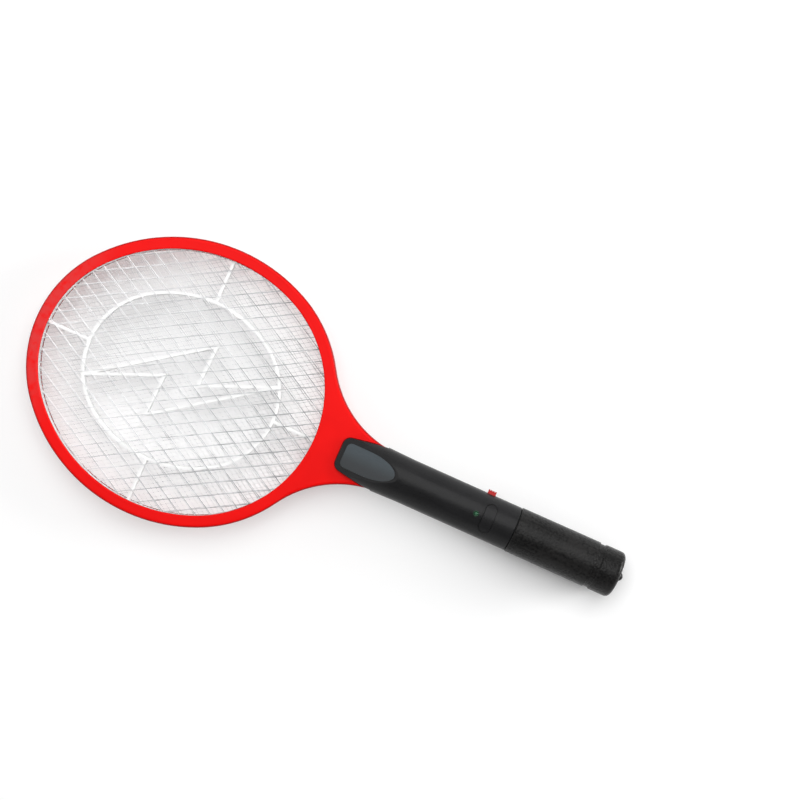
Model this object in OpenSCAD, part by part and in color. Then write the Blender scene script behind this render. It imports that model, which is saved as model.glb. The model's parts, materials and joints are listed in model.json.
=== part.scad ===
// Electric fly swatter: an oval head with three wire grids, held in a red two-part frame,
// on a round black handle with a push button, a side switch and a pull-off battery sleeve.
// X runs along the handle toward its tail, Z points out of the front face.

/* [Head] */
// From the widest place of the opening to its far end
opening_far = 114.8; // [108:0.1:120]
// From the widest place of the opening to its handle end
opening_near = 108.2; // [102:0.1:114]
// Half the greatest width of the opening
opening_half_w = 100.2; // [94:0.1:105]
// By how much the radius of the opening's long sides exceeds its longer end
side_extra = 8; // [6:0.1:20]
// Width of the rim seen from the front
rim_w = 9.4; // [8:0.1:12]
// Thickness of the whole head
head_t = 14; // [12:0.1:18]
// Rounding of the rim's outer edges
rim_edge_r = 2.4; // [1:0.1:3]
// Rounding of the lip's inner edges
lip_edge_r = 0.9; // [0.3:0.1:1.2]
// Thickness of the rim's outer wall
rim_wall = 2.2; // [1.6:0.1:3]
// Thickness of the lip that covers the edges of the grids
lip_t = 2; // [1.4:0.1:3]
// Radius of the curve from the rim to the neck
flare_r = 84; // [70:1:100]
// Half the width of the neck at the waist of that curve
neck_half_w = 16.2; // [15:0.1:17]
// Length of the frame's stem inside the handle
stem_len = 27; // [24:0.5:30]
// Half the width of that stem
stem_half_w = 11; // [9:0.1:12]
// Thickness of that stem, both halves together
stem_t = 10; // [8:0.1:11]

/* [Grids] */
// Thickness of a grid's wires
wire_t = 0.8; // [0.6:0.05:1]
// Distance between neighbouring wires
wire_pitch = 10.8; // [10.8:0.1:16]
// Angle of the wires to the handle
wire_angle = 29.4; // [24:0.1:40]
// How far the wires run on under the lip
wire_margin = 3.2; // [2.8:0.1:3.6]
// Width of a grid's solder tab
tab_w = 3; // [2:0.1:4]

/* [Spacers] */
// Width of the spacer's ribs
rib_w = 2.3; // [1.6:0.1:3]
// Half length of the inner oval rib
inner_oval_l = 77; // [70:0.5:84]
// Half width of the inner oval rib
inner_oval_w = 65.4; // [60:0.2:70]
// Radius of the inner oval's long sides
inner_oval_side_r = 90; // [88:0.5:110]
// Width of the ring that is clamped in the rim
clamp_ring_w = 5.5; // [3:0.1:5.8]
// Distance of that ring from the edge of the opening
clamp_ring_in = 0.3; // [0.2:0.1:2]

/* [Handle] */
// From the widest place of the opening to the handle's shoulder
shoulder_x = 163; // [160:0.5:168]
// Diameter at the shoulder
shoulder_d = 36.4; // [35.8:0.1:36.6]
// Diameter of the front grip
handle_d = 35.2; // [34.4:0.1:35.6]
// Length over which the shoulder tapers to the grip
shoulder_taper = 22; // [10:0.5:30]
// Wall of the handle
handle_wall = 2.2; // [1.8:0.1:2.6]
// From the shoulder to the joint with the battery sleeve
grip_len = 113; // [100:0.5:125]
// Length of the black tongue that lies on the neck
tongue_len = 33; // [30:0.5:36]
// Half the width of the tongue at its free end
tongue_half_w = 12.4; // [11:0.1:13.5]
// Rounding of the tongue's corners
tongue_corner_r = 6; // [3:0.5:9]
// Depth of the seat that the tongue lies in
tongue_seat = 1.5; // [1:0.1:2]
// Gap round the tongue
tongue_gap = 0.6; // [0.3:0.1:1]
// Height of the tongue's free end above the axis
tongue_end_h = 8.8; // [8.2:0.1:10]
// From the shoulder to the tip of the sloping face
facet_len = 15; // [12:0.5:18]
// Thickness of the badge plate
badge_t = 0.8; // [0.6:0.1:1]
// Depth of the seat that the badge plate lies in
badge_seat = 0.5; // [0.3:0.1:0.6]
// Half the width of the badge plate
badge_half_w = 9.8; // [8:0.1:10]
// Length of the badge plate
badge_len = 43; // [38:0.5:44]
// Length of the badge plate's tip
badge_tip_l = 24; // [20:0.5:30]
// Rounding of the badge plate's corners
badge_corner_r = 4; // [2:0.5:6]
// From the tip of the sloping face to the badge plate
badge_border = 2; // [1.5:0.1:3]

/* [Controls] */
// Size of the push button along the handle
button_l = 8.8; // [8:0.1:12]
// Size of the push button across the handle
button_w = 22.4; // [18:0.1:23]
// From the push button to the joint with the battery sleeve
button_at = 22; // [21:0.5:23]
// How far the button stands above the grip
button_proud = 0.7; // [0.3:0.1:1]
// Travel of the push button
button_travel = 1.2; // [0.8:0.1:1.4]
// From the lamp to the joint with the battery sleeve
led_at = 32; // [31:0.5:33]
// Diameter of the lamp
led_d = 3; // [2.8:0.1:3.4]
// From the middle of the side switch to the joint with the battery sleeve
switch_at = 26; // [25:0.5:27]
// Length of the side switch's knob
knob_l = 6.3; // [5:0.1:8]
// Height of the knob across the slot
knob_h = 5; // [4:0.1:6]
// How far the knob stands out of the handle
knob_proud = 2.9; // [2:0.1:5]
// Travel of the side switch
knob_travel = 4; // [3:0.1:5]
// Depth of the finger grooves in the knob
knob_groove = 0.5; // [0.3:0.1:0.8]

/* [Battery end] */
// Length of the battery sleeve up to the groove
sleeve_len = 66; // [66:0.5:72]
// Diameter of the sleeve at the joint
sleeve_front_d = 36.1; // [35.6:0.1:36.4]
// Diameter of the sleeve at the groove
sleeve_rear_d = 36.5; // [36.2:0.1:36.6]
// Bore of the sleeve
sleeve_bore_d = 31.9; // [31.8:0.1:32.2]
// Width of the groove before the end cap
groove_w = 4; // [2:0.1:5]
// Diameter at the bottom of that groove
groove_d = 34.8; // [34.2:0.1:35]
// Length of the end cap
cap_len = 17.5; // [16:0.1:20]
// Diameter of the end cap
cap_d = 36.7; // [36.4:0.1:38]
// Rounding of the end cap
cap_edge_r = 4; // [1:0.1:5]
// Diameter of the nub on the end cap
nub_d = 7.2; // [5:0.1:8]
// How far the nub stands out of the end cap
nub_proud = 4.4; // [2.5:0.1:5]
// Diameter of a battery cell
cell_d = 14.5; // [14:0.1:14.5]
// Length of a battery cell with its tip
cell_l = 50.5; // [49.5:0.1:50.5]
// Space for a cell's contact spring
spring_l = 6; // [5:0.1:6.5]
// Diameter of the spring wire
spring_wire_d = 0.7; // [0.5:0.05:0.8]

/* [Electronics] */
// From the circuit board to the battery tray
board_gap = 2; // [1:0.1:3]
// Width of the circuit board
board_w = 23; // [21:0.5:23.5]
// Thickness of the circuit board
board_t = 1.6; // [1:0.1:1.8]
// Diameter of the insulated wires
lead_d = 1.4; // [1:0.1:1.6]

/* [Hidden] */
$fn = 96;

// Clearances
fit_gap = 0.1;
move_gap = 0.3;
over = 1;
join_step = 0.02;

// Reach of the cutting shapes, past every edge of the head
wedge_reach = 4 * opening_far;

// Flats that make up a rounded edge
edge_steps = 5;

// Radius of the opening's long sides
side_r = max(opening_far, opening_near) + side_extra;

// Levels of the head, from the parting plane
half_t = head_t / 2;
lip_z = half_t - lip_t;
grid_z = lip_z - wire_t - 2 * join_step;
spacer_t = grid_z - wire_t / 2;

// Places along the handle
joint_x = shoulder_x + grip_len;
spigot_len = 8;
sleeve_x = joint_x + move_gap;
groove_x = sleeve_x + sleeve_len;
cap_x = groove_x + groove_w;
cap_end = cap_x + cap_len;
tip_x = cap_end + nub_proud;
far_x = -opening_far - rim_w;
tongue_x = shoulder_x - tongue_len;
facet_x = shoulder_x + facet_len;
cavity_x = facet_x - facet_len / 5;
spacer_x = (opening_near - opening_far) / 2;

// Radii of the handle
handle_r = handle_d / 2;
shoulder_r = shoulder_d / 2;
cavity_r = handle_r - handle_wall;
spigot_r = sleeve_bore_d / 2 - move_gap;
plug_r = spigot_r - handle_wall;
tray_r = spigot_r - fit_gap;
flange_t = 3;
flange_x = joint_x - flange_t - 2;

// Slope of the badge face, from its tip down to the tongue's free end
facet_angle = atan2(handle_r - tongue_end_h, facet_len + tongue_len);

// The head's oval: four tangent arcs
function oval(far, near, half_w, side) = let(c = side - half_w)
    [side, c, (side * side - far * far - c * c) / (2 * (side - far)),
        (side * side - near * near - c * c) / (2 * (side - near)), far, near];
function side_c(o) = o[1];
function far_r(o) = o[2];
function near_r(o) = o[3];
function far_e(o) = o[4] - o[2];
function near_e(o) = o[5] - o[3];
function far_angle(o) = atan2(side_c(o), -far_e(o));
function near_angle(o) = atan2(side_c(o), near_e(o));

opening = oval(opening_far, opening_near, opening_half_w, side_r);
inner_oval = oval(inner_oval_l, inner_oval_l, inner_oval_w, inner_oval_side_r);

// The neck: two curves that leave the rim at a tangent
flare_y = neck_half_w + flare_r;
flare_reach = near_r(opening) + rim_w + flare_r;
flare_at = asin(flare_y / flare_reach);
flare_x = near_e(opening) + flare_reach * cos(flare_at);
neck_end = shoulder_x - fit_gap;
flare_lap = 0.5;

// Wires' channels through the neck
channel_y = 6.5;
channel_w = 3.6;
channel_h = 2.2;
tab_reach = 12;
lead_z = wire_t / 2 + lead_d / 2;

// Outer face of the ground strap, just inside the rim's wall at the place of the solder tabs
strap_gap = 0.9;
strap_x = near_e(opening) + sqrt(pow(near_r(opening) + rim_w - rim_wall, 2)
    - pow(channel_y + tab_w / 2, 2)) - strap_gap;

// Screws and their bosses
boss_d = 3 * handle_wall;
screw_d = 0.4 * boss_d;
screw_head_d = 0.82 * boss_d;
screw_head_t = 0.3 * boss_d;
screw_seat = handle_r - 2 * screw_head_t;
screw_reach = 0.53 * cavity_r;
recess_l = 0.66 * screw_head_d;
recess_w = 0.15 * screw_head_d;
recess_h = 0.45 * screw_head_t;
rear_screw_at = 11.7;
rear_screw_x = joint_x - rear_screw_at;
front_screw_x = shoulder_x + 0.685 * stem_len;

// Circuit board and what stands on it; kit_l is the length left for the transformer and small parts
stem_gap = 7;
board_x = shoulder_x + stem_len + stem_gap;
board_l = flange_x - board_gap - board_x;
board_top = 0;
led_x = joint_x - led_at;
button_x = joint_x - button_at;
switch_x = joint_x - switch_at;
kit_l = led_x - board_x;
plunger_d = 3.4;
plunger_top = 6;
plunger_l = 4;
push_switch_h = 4;
push_switch_l = 6;
button_base = 7.8;
button_skin = 2.6;
button_flange = 1;
post_d = 5;
knob_flange_t = 1.2;
knob_flange_h = knob_h + 2.6;
knob_flange_y = sqrt(cavity_r * cavity_r - knob_flange_h * knob_flange_h / 4) - move_gap;
slot_x = switch_x - knob_travel / 2;
knob_flange_l = knob_l + 2 * knob_travel + 1.6;
peg_l = 3;
peg_h = 2;
peg_z = 2.2;
peg_out = 2;
knob_grooves = 3;
slide_switch_l = 11;
slide_switch_h = 4.4;
slide_switch_d = 4.6;
slide_switch_y = knob_flange_y - knob_flange_t - move_gap;

// Battery places
tray_x = joint_x + spigot_len + 0.4;
plate_t = 0.4;
tray_wall = 2;
contact_front = tray_x + tray_wall + plate_t;
contact_rear = contact_front + cell_l + spring_l;
tray_end = contact_rear + plate_t + tray_wall;
cell_y = cell_d / 2 + fit_gap / 2;
plate_w = 0.69 * cell_d;
bridge_h = 0.55 * cell_d;
cell_tip_d = 0.37 * cell_d;
cell_tip_l = 1.2;
tray_top = 0.2 * cell_d;

// End of the battery sleeve inside the end cap, and the cap's floor
sleeve_tail = 7;
cap_floor = 3;

// Moves the part from the head's middle and the handle's axis to its own frame
module place() {
    translate([-(tip_x + far_x) / 2, 0, cap_d / 2]) children();
}

// A revolved body along the handle, between two angles, from a profile of [radius, x] points
module turned(from, sweep) {
    rotate([0, 90, 0]) rotate([0, 0, from]) rotate_extrude(angle = sweep) children();
}
module turned_front() {
    turned(90, 180) children();
}
module rod_x(r, from, to) {
    translate([from, 0, 0]) rotate([0, 90, 0]) cylinder(r = r, h = to - from);
}

// A profile turned about an upright axis, drawn outward from a radius. Profiles grow by
// a hair where they close onto the next arc, so that the arcs join as one solid.
module swept(centre, r, grow) {
    $grow = grow;
    translate(centre) rotate_extrude() translate([r, 0]) children();
}

// The part of the plane between two rays at plus and minus an angle, toward one end of the head
module wedge(x, angle, way) {
    ray = wedge_reach * [cos(angle), sin(angle)];
    linear_extrude(4 * head_t, center = true) polygon([
        [x, 0], [x + ray[0], ray[1]], [x + way * wedge_reach, ray[1]],
        [x + way * wedge_reach, -ray[1]], [x + ray[0], -ray[1]]
    ]);
}

// A profile swept round an oval: each arc ends where the next begins
module oval_sweep(o) {
    intersection() {
        swept([-far_e(o), 0, 0], far_r(o), join_step) children();
        wedge(-far_e(o), far_angle(o), -1);
    }
    intersection() {
        swept([near_e(o), 0, 0], near_r(o), join_step) children();
        wedge(near_e(o), near_angle(o), 1);
    }
    for (s = [1, -1]) difference() {
        swept([0, -s * side_c(o), 0], o[0], 0) children();
        translate([-wedge_reach, -wedge_reach - s * wedge_reach, -2 * head_t])
            cube([2 * wedge_reach, 2 * wedge_reach, 4 * head_t]);
        wedge(-far_e(o), far_angle(o), -1);
        wedge(near_e(o), near_angle(o), 1);
    }
}

// Points along a rounded corner, from one angle to another
function rounded(centre, r, from, to) = [for (i = [0 : edge_steps])
    let(a = from + (to - from) * i / edge_steps) centre + r * [cos(a), sin(a)]];
function lip_edge(g) = rounded([lip_edge_r, half_t - lip_edge_r], lip_edge_r + g, 90, 180);

// Profiles of the rim, of the lip along the neck and of the neck's curved sides
module rim_profile() {
    g = $grow;
    wall = rim_w - rim_wall - g;
    polygon(concat([[wall, 0], [rim_w + g, 0]],
        rounded([rim_w - rim_edge_r, half_t - rim_edge_r], rim_edge_r + g, 0, 90),
        lip_edge(g), [[-g, lip_z - g], [wall, lip_z - g]]));
}
module neck_lip_profile() {
    g = $grow;
    end = rim_w - rim_wall + over;
    polygon(concat([[end, half_t + g]], lip_edge(g), [[-g, lip_z - g], [end, lip_z - g]]));
}
module flare_profile() {
    g = $grow;
    end = rim_edge_r + flare_lap;
    polygon(concat([[-g, 0], [end, 0], [end, half_t + g]],
        rounded([rim_edge_r, half_t - rim_edge_r], rim_edge_r + g, 90, 180)));
}
module ring_profile(from, w) {
    translate([from - $grow, 0]) square([w + 2 * $grow, spacer_t]);
}
module neck_plate(grow) {
    linear_extrude(half_t + grow) difference() {
        translate([near_e(opening), -flare_y]) square([neck_end - near_e(opening), 2 * flare_y]);
        translate([near_e(opening), 0]) circle(r = near_r(opening) + rim_w - rim_wall - grow);
        for (s = [1, -1])
            translate([flare_x, s * flare_y]) circle(r = flare_r + rim_edge_r);
    }
}
module neck() {
    intersection() {
        union() {
            neck_plate(2 * join_step);
            swept([near_e(opening), 0, 0], near_r(opening), 2 * join_step) neck_lip_profile();
            for (s = [1, -1]) intersection() {
                swept([flare_x, s * flare_y, 0], flare_r, 2 * join_step) flare_profile();
                translate([near_e(opening), -flare_y, 0])
                    cube([neck_end - near_e(opening), 2 * flare_y, head_t]);
            }
        }
        wedge(near_e(opening), flare_at, 1);
    }
}
module stem() {
    translate([neck_end - over, -stem_half_w, 0])
        cube([stem_len + over, 2 * stem_half_w, stem_t / 2]);
}

// One half of the frame, drawn for the front
module frame_half() {
    difference() {
        union() {
            difference() {
                oval_sweep(opening) rim_profile();
                wedge(near_e(opening), flare_at, 1);
            }
            neck();
            stem();
        }
        for (s = [1, -1])
            translate([opening_near + clamp_ring_in, s * channel_y - channel_w / 2, -over])
                cube([shoulder_x + stem_len, channel_w, channel_h + over]);
        translate([0, 0, half_t - tongue_seat])
            linear_extrude(tongue_seat + over) tongue_outline(tongue_gap);
        translate([front_screw_x, 0, -over]) cylinder(d = 0.7 * boss_d, h = head_t);
    }
}
module frame_front() {
    place() color("red") frame_half();
}
module frame_back() {
    place() color("firebrick") mirror([0, 0, 1]) frame_half();
}

// Wires that cross the opening: each is cut to the oval that lies under the lip
function wire_ends(s, angle, a, b) = let(
        u = [cos(angle), sin(angle)],
        n = [-sin(angle), cos(angle)],
        k = pow(u[0] / a, 2) + pow(u[1] / b, 2),
        m = s * (u[0] * n[0] / (a * a) + u[1] * n[1] / (b * b)),
        c = s * s * (pow(n[0] / a, 2) + pow(n[1] / b, 2)) - 1,
        root = m * m - k * c
    ) root <= 0 ? undef : [(-m - sqrt(root)) / k, (-m + sqrt(root)) / k];
module wires(angle) {
    a = (opening_far + opening_near) / 2 + wire_margin;
    b = opening_half_w + wire_margin;
    count = floor(max(a, b) / wire_pitch);
    for (i = [-count - 0.5 : count + 0.5]) {
        ends = wire_ends(i * wire_pitch, angle, a, b);
        if (!is_undef(ends) && ends[1] - ends[0] > wire_pitch)
            rotate(angle) translate([ends[0], i * wire_pitch - wire_t / 2])
                square([ends[1] - ends[0], wire_t]);
    }
}
module grid(tab_side) {
    linear_extrude(wire_t) {
        translate([spacer_x, 0]) {
            wires(wire_angle);
            wires(-wire_angle);
        }
        translate([opening_near - wire_pitch, tab_side * channel_y - tab_w / 2])
            square([strap_x - opening_near + wire_pitch, tab_w]);
    }
}
module front_grid() {
    place() color("silver") translate([0, 0, grid_z]) grid(-1);
}
module middle_grid() {
    place() color("silver") translate([0, 0, -wire_t / 2]) grid(1);
}
module back_grid() {
    place() color("silver") translate([0, 0, -grid_z - wire_t]) grid(-1);
}

// The insulating lattice: a clamped ring, four spokes, an oval and a bolt of straight ribs
bolt = [[-70.5, -25.7], [14.6, 35], [13.4, 1.5], [70.5, 25.7], [-14.6, -35], [-13.4, -1.5]];
module rib(p, q) {
    d = q - p;
    translate(p) rotate(atan2(d[1], d[0])) translate([0, -rib_w / 2]) square([norm(d), rib_w]);
    translate(q) circle(d = rib_w);
}
module spacer() {
    difference() {
        union() {
            oval_sweep(opening) ring_profile(clamp_ring_in, clamp_ring_w);
            translate([spacer_x, 0, 0]) {
                oval_sweep(inner_oval) ring_profile(-rib_w / 2, rib_w);
                linear_extrude(spacer_t) {
                    for (i = [0 : len(bolt) - 1]) rib(bolt[i], bolt[(i + 1) % len(bolt)]);
                }
                spokes();
            }
        }
        translate([opening_near - over, -channel_y - channel_w / 2, -over])
            cube([tab_reach, channel_w, spacer_t + 2 * over]);
    }
}
module spokes() {
    end_x = (opening_far + opening_near) / 2 + clamp_ring_in + rib_w / 2;
    end_y = opening_half_w + clamp_ring_in + rib_w / 2;
    for (s = [0, 180])
        rotate([0, 0, s]) translate([inner_oval_l, -rib_w / 2, 0])
            cube([end_x - inner_oval_l, rib_w, spacer_t]);
    for (s = [90, 270])
        rotate([0, 0, s]) translate([inner_oval_w, -rib_w / 2, 0])
            cube([end_y - inner_oval_w, rib_w, spacer_t]);
}
module front_spacer() {
    place() color("white") translate([0, 0, wire_t / 2]) spacer();
}
module back_spacer() {
    place() color("white") mirror([0, 0, 1]) translate([0, 0, wire_t / 2]) spacer();
}

// A strip that joins the two outer grids behind the spacers
module ground_strap() {
    place() color("silver") translate([strap_x - wire_t, -channel_y - tab_w / 2, -grid_z])
        cube([wire_t, tab_w, 2 * grid_z]);
}

// Plan of the tongue, grown by a gap all round
module tongue_outline(gap) {
    taper = atan2(shoulder_r - tongue_half_w, tongue_len);
    r = tongue_corner_r + gap;
    cx = tongue_x + tongue_corner_r;
    cy = tongue_half_w + tongue_corner_r * tan(taper) - tongue_corner_r / cos(taper);
    steps = 10;
    corner = [for (i = [0 : steps]) let(a = 180 - i * (90 - taper) / steps)
        [cx + r * cos(a), cy + r * sin(a)]];
    end_y = shoulder_r + gap / cos(taper) + over * tan(taper);
    side = concat(corner, [[shoulder_x + over, end_y]]);
    polygon(concat(side, [for (i = [len(side) - 1 : -1 : 0]) [side[i][0], -side[i][1]]]));
}

// One half of the handle, drawn for the front: tongue, grip and spigot
module grip_profile() {
    edge = 0.6;
    polygon([
        [0, shoulder_x], [shoulder_r - edge, shoulder_x], [shoulder_r, shoulder_x + edge],
        [handle_r, shoulder_x + shoulder_taper], [handle_r, joint_x - edge], [handle_r - edge, joint_x],
        [spigot_r, joint_x], [spigot_r, joint_x + spigot_len], [0, joint_x + spigot_len]
    ]);
}
module cavity_profile() {
    polygon([
        [0, cavity_x], [cavity_r, cavity_x], [cavity_r, flange_x + flange_t + fit_gap],
        [plug_r, flange_x + flange_t + fit_gap], [plug_r, joint_x + spigot_len + over],
        [0, joint_x + spigot_len + over]
    ]);
}
module tongue() {
    intersection() {
        translate([0, 0, half_t - tongue_seat + fit_gap]) linear_extrude(shoulder_r) tongue_outline(0);
        rod_x(shoulder_r, tongue_x - over, shoulder_x + over / 2);
    }
}
// Puts its children on the sloping face, with x along the slope from its tip
module on_facet() {
    translate([facet_x, 0, handle_r]) rotate([0, -facet_angle, 0]) children();
}
module handle_half() {
    difference() {
        union() {
            turned_front() grip_profile();
            tongue();
        }
        turned(0, 360) cavity_profile();
        on_facet() translate([-2 * tongue_len, -shoulder_d, 0])
            cube([4 * tongue_len, 2 * shoulder_d, shoulder_d]);
        translate([shoulder_x - over, -stem_half_w - fit_gap, -over])
            cube([stem_len + 2 * over, 2 * (stem_half_w + fit_gap), stem_t / 2 + fit_gap + over]);
        switch_slot();
    }
}
module boss(x, from) {
    intersection() {
        translate([x, 0, from]) cylinder(d = boss_d, h = handle_r - from);
        rod_x(cavity_r + over, x - boss_d, x + boss_d);
    }
}
module switch_slot() {
    l = knob_l + knob_travel + 2 * move_gap;
    h = knob_h + 2 * move_gap;
    translate([slot_x - l / 2, cavity_r - 2 * over, -h / 2]) cube([l, shoulder_r, h]);
}
module button_outline(extra) {
    r = button_l / 2 + extra;
    y = (button_w - button_l) / 2;
    translate([-r, -y]) square([2 * r, 2 * y]);
    for (s = [1, -1]) translate([0, s * y]) circle(r = r);
}
// The badge: a plate with rounded corners at the head's end and an elliptic tip
module badge_outline(extra) {
    l = badge_len + extra;
    w = badge_half_w + extra;
    tip = badge_tip_l + extra;
    tip_side = [for (i = [0 : 2 * edge_steps]) let(a = 90 * i / (2 * edge_steps))
        [tip * cos(a) - badge_tip_l, w * sin(a)]];
    side = concat(tip_side, rounded([badge_corner_r - l, w - badge_corner_r], badge_corner_r, 90, 180));
    polygon(concat(side, [for (i = [len(side) - 1 : -1 : 1]) [side[i][0], -side[i][1]]]));
}
module on_badge(depth) {
    on_facet() translate([-badge_border, 0, -depth]) children();
}
module handle_front() {
    place() color([0.13, 0.13, 0.14]) difference() {
        union() {
            handle_half();
            boss(front_screw_x, stem_t / 2 + fit_gap);
            boss(rear_screw_x, fit_gap);
        }
        translate([button_x, 0, 0]) linear_extrude(shoulder_d) button_outline(move_gap);
        translate([led_x, 0, 0]) cylinder(d = led_d + 2 * fit_gap, h = shoulder_d);
        on_badge(badge_seat) linear_extrude(over + badge_seat) badge_outline(fit_gap);
        for (x = [front_screw_x, rear_screw_x])
            translate([x, 0, -over]) cylinder(d = screw_d, h = cavity_r);
    }
}
module handle_back() {
    place() color([0.12, 0.12, 0.13]) mirror([0, 0, 1]) difference() {
        union() {
            handle_half();
            boss(front_screw_x, stem_t / 2 + fit_gap);
            boss(rear_screw_x, 0);
            for (f = [0.08, 0.9]) board_rest(board_x + f * board_l);
        }
        for (x = [front_screw_x, rear_screw_x]) {
            translate([x, 0, -over]) cylinder(d = screw_d + 2 * fit_gap, h = shoulder_d);
            translate([x, 0, screw_seat]) cylinder(d = screw_head_d + 2 * fit_gap, h = shoulder_d);
        }
    }
}
module board_rest(x) {
    t = board_t;
    intersection() {
        translate([x, -cavity_r, board_t - board_top]) cube([t, 2 * cavity_r, cavity_r]);
        rod_x(cavity_r + over / 2, x, x + t);
        difference() {
            rod_x(handle_r, x, x + t);
            rod_x(0.7 * cavity_r, x - over, x + t + over);
        }
    }
}
module badge_plate() {
    place() color("slategray") on_badge(badge_seat) linear_extrude(badge_t) badge_outline(0);
}
module handle_screws() {
    place() color("silver") mirror([0, 0, 1]) for (x = [front_screw_x, rear_screw_x]) {
        translate([x, 0, screw_seat]) difference() {
            cylinder(d = screw_head_d, h = screw_head_t);
            translate([0, 0, screw_head_t - recess_h]) {
                translate([-recess_l / 2, -recess_w / 2, 0]) cube([recess_l, recess_w, over]);
                translate([-recess_w / 2, -recess_l / 2, 0]) cube([recess_w, recess_l, over]);
            }
        }
        translate([x, 0, -screw_reach]) cylinder(d = screw_d, h = screw_seat + screw_reach);
    }
}

// The push button and the switch under it
module push_button() {
    place() color([0.1, 0.1, 0.11]) {
        intersection() {
            translate([button_x, 0, button_base]) linear_extrude(handle_d) button_outline(0);
            difference() {
                rod_x(handle_r + button_proud, button_x - button_l, button_x + button_l);
                rod_x(cavity_r - button_skin, button_x - 2 * button_l, button_x + 2 * button_l);
            }
        }
        intersection() {
            translate([button_x, 0, button_base]) linear_extrude(handle_d) button_outline(button_flange);
            difference() {
                rod_x(cavity_r - move_gap, button_x - button_l, button_x + button_l);
                rod_x(cavity_r - button_skin, button_x - 2 * button_l, button_x + 2 * button_l);
            }
        }
        translate([button_x, 0, plunger_top]) cylinder(d = post_d, h = cavity_r - plunger_top);
    }
}
module switch_plunger() {
    place() color("ivory")
        translate([button_x, 0, plunger_top - plunger_l]) cylinder(d = plunger_d, h = plunger_l);
}
module push_switch() {
    l = push_switch_l;
    hole_z = plunger_top - plunger_l - button_travel - move_gap;
    place() color([0.2, 0.2, 0.22]) difference() {
        translate([button_x - l / 2, -l / 2, board_top]) cube([l, l, push_switch_h]);
        translate([button_x, 0, hole_z]) cylinder(d = plunger_d + fit_gap, h = push_switch_h);
    }
}

// The red slide switch on the side
module slide_knob() {
    face_y = handle_r + knob_proud;
    notch_w = knob_l / (2 * knob_grooves + 1);
    place() color("red") {
        difference() {
            translate([switch_x - knob_l / 2, knob_flange_y - over / 2, -knob_h / 2])
                cube([knob_l, face_y - knob_flange_y + over / 2, knob_h]);
            for (i = [0 : knob_grooves - 1])
                translate([switch_x - knob_l / 2 + (2 * i + 1) * notch_w, face_y - knob_groove, -knob_h])
                    cube([notch_w, knob_groove + over, 2 * knob_h]);
        }
        translate([switch_x - knob_flange_l / 2, knob_flange_y - knob_flange_t, -knob_flange_h / 2])
            cube([knob_flange_l, knob_flange_t, knob_flange_h]);
        translate([switch_x - peg_l / 2, slide_switch_y - peg_out, peg_z - peg_h / 2])
            cube([peg_l, knob_flange_y - slide_switch_y + peg_out - knob_flange_t / 2, peg_h]);
    }
}
module slide_switch() {
    slot_l = peg_l + knob_travel + 2 * move_gap;
    slot_h = peg_h + 2 * move_gap;
    slot_d = peg_out + move_gap;
    place() color("silver") difference() {
        translate([slot_x - slide_switch_l / 2, slide_switch_y - slide_switch_d, board_top])
            cube([slide_switch_l, slide_switch_d, slide_switch_h]);
        translate([slot_x - slot_l / 2, slide_switch_y - slot_d, peg_z - slot_h / 2])
            cube([slot_l, slot_d + over, slot_h]);
    }
}
module power_led() {
    base = cavity_r - 0.8 * led_d;
    dome_z = handle_r - 0.2 * led_d;
    collar = led_d / 3;
    place() color("limegreen") translate([led_x, 0, 0]) {
        translate([0, 0, base]) cylinder(d = led_d, h = dome_z - base);
        translate([0, 0, dome_z]) sphere(d = led_d);
        translate([0, 0, base - collar]) cylinder(d = led_d + 0.8 * collar, h = collar);
        for (s = [1, -1])
            translate([0, s * 0.3 * led_d, board_top]) cylinder(d = leg_d, h = base - board_top);
    }
}

// The circuit board and its parts
leg_d = 0.5;
leg_out = 1.2;
module circuit_board() {
    place() color("darkgreen") difference() {
        translate([board_x, -board_w / 2, board_top - board_t]) cube([board_l, board_w, board_t]);
        translate([rear_screw_x, 0, board_top - board_t - over])
            cylinder(d = boss_d + 2 * move_gap, h = board_t + 2 * over);
    }
}
core_x = board_x + 0.13 * kit_l;
core_l = 0.36 * kit_l;
core_w = 0.52 * board_w;
core_leg = 0.18 * core_l;
core_z = board_top + 0.6;
core_h = 0.7 * cavity_r;
window_l = core_l / 2 - 1.5 * core_leg;
window_h = core_h - 2 * core_leg;
module transformer_core() {
    place() color("dimgray") translate([core_x, -core_w / 2, core_z]) difference() {
        cube([core_l, core_w, core_h]);
        for (x = [core_leg, core_l / 2 + core_leg / 2])
            translate([x, -over, core_leg]) cube([window_l, core_w + 2 * over, window_h]);
    }
}
module transformer_winding() {
    bulge = core_w / 6;
    place() color("goldenrod") translate([core_x, 0, core_z + core_leg]) difference() {
        translate([core_leg + fit_gap, -core_w / 2 - bulge, fit_gap])
            cube([core_l - 2 * core_leg - 2 * fit_gap, core_w + 2 * bulge, window_h - 2 * fit_gap]);
        translate([core_leg + window_l - fit_gap, -core_w / 2 - fit_gap, -over])
            cube([core_leg + 2 * fit_gap, core_w + 2 * fit_gap, core_h]);
    }
}
capacitor_x = board_x + 0.67 * kit_l;
capacitor_t = 0.15 * kit_l;
capacitor_w = 0.65 * board_w;
capacitor_h = 0.63 * cavity_r;
module high_voltage_capacitor() {
    y = (capacitor_w - capacitor_t) / 2;
    place() color("brown") translate([capacitor_x, 0, board_top]) linear_extrude(capacitor_h) {
        translate([-capacitor_t / 2, -y]) square([capacitor_t, 2 * y]);
        for (s = [1, -1]) translate([0, s * y]) circle(d = capacitor_t);
    }
}
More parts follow.
